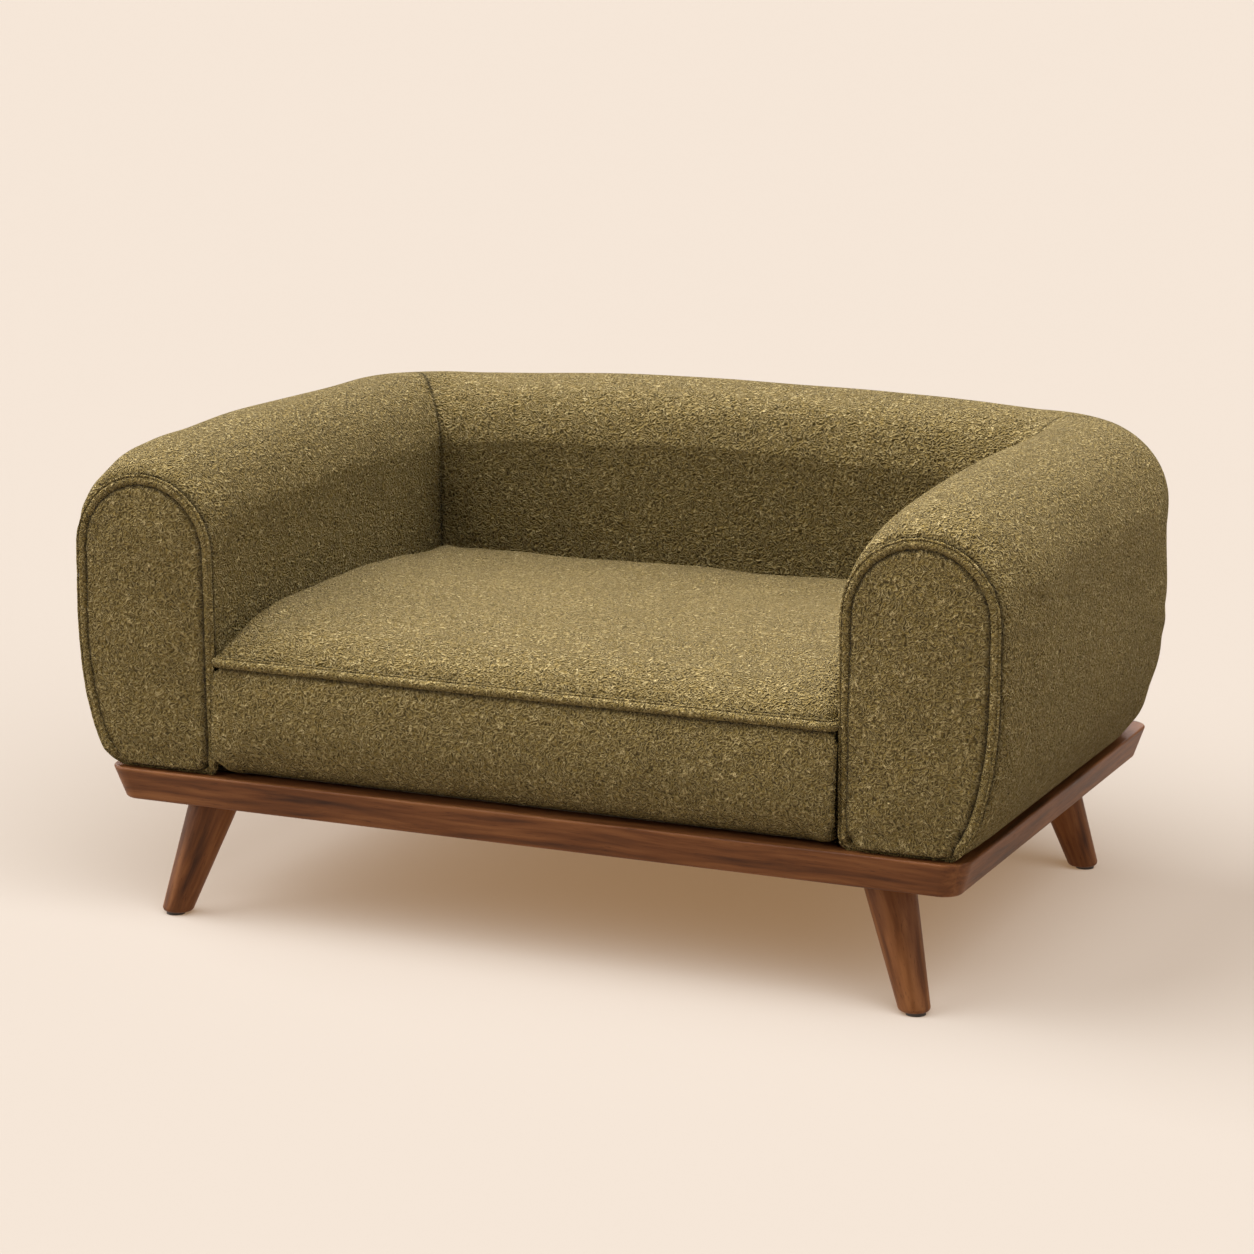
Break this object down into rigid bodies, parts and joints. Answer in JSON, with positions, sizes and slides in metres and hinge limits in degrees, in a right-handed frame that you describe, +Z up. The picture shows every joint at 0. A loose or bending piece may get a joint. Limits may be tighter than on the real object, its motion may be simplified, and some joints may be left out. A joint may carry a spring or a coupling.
{
  "type": "dog bed with frame",
  "caption": "Small sofa-shaped pet bed: rounded padded arms and back round a loose crowned cushion, on a low wooden platform with splayed tapered legs.",
  "frame": {"origin": "on the floor, under the middle of the bed's outline", "axes": "+X from the left arm to the right arm, +Y from the open front to the back, +Z up"},
  "size_m": [0.974, 0.6633, 0.498],
  "materials": {
    "walnut": "satin",
    "plywood": "matte",
    "softwood": "matte",
    "steel": "satin",
    "glide_plastic": "matte",
    "boucle": "matte",
    "cushion_boucle": "matte",
    "piping": "matte",
    "lining": "matte",
    "foam": "matte",
    "zip_tape": "matte",
    "zip_coil": "satin",
    "zip_metal": "satin"
  },
  "bodies": {
    "frame": {"back_base": "plywood", "back_cover": "boucle", "back_foam": "foam", "back_left_corner_block": "softwood", "back_left_glide": "glide_plastic", "back_left_leg": "walnut", "back_rail": "walnut", "back_right_corner_block": "softwood", "back_right_glide": "glide_plastic", "back_right_leg": "walnut", "back_upright": "plywood", "bolster_bolts": "steel", "centre_brace": "softwood", "deck_panel": "plywood", "deck_screws": "steel", "front_left_corner_block": "softwood", "front_left_glide": "glide_plastic", "front_left_leg": "walnut", "front_rail": "walnut", "front_right_corner_block": "softwood", "front_right_glide": "glide_plastic", "front_right_leg": "walnut", "insert_nuts": "steel", "left_arm_base": "plywood", "left_arm_cover": "boucle", "left_arm_foam": "foam", "left_arm_front_board": "plywood", "left_arm_upright": "plywood", "left_arm_welt": "piping", "left_front_pad": "foam", "left_front_panel": "boucle", "left_rail": "walnut", "leg_bolts": "steel", "mitre_splines": "plywood", "right_arm_base": "plywood", "right_arm_cover": "boucle", "right_arm_foam": "foam", "right_arm_front_board": "plywood", "right_arm_upright": "plywood", "right_arm_welt": "piping", "right_front_pad": "foam", "right_front_panel": "boucle", "right_rail": "walnut", "tee_nuts": "steel"},
    "cushion": {"cushion_top_panel": "cushion_boucle", "cushion_bottom_panel": "lining", "cushion_boxing": "cushion_boucle", "cushion_welt": "piping", "cushion_foam": "foam", "zip_tape": "zip_tape", "zip_chain": "zip_coil"},
    "zip_slider": {"zip_slider": "zip_metal"}
  },
  "joints": [
    {"name": "cushion_lift", "type": "slide", "parent": "frame", "child": "cushion", "axis": [0, 0, 1], "range_m": [0, 0.3]},
    {"name": "zip_slide", "type": "slide", "parent": "cushion", "child": "zip_slider", "axis": [1, 0, 0], "range_m": [0, 0.536]}
  ]
}
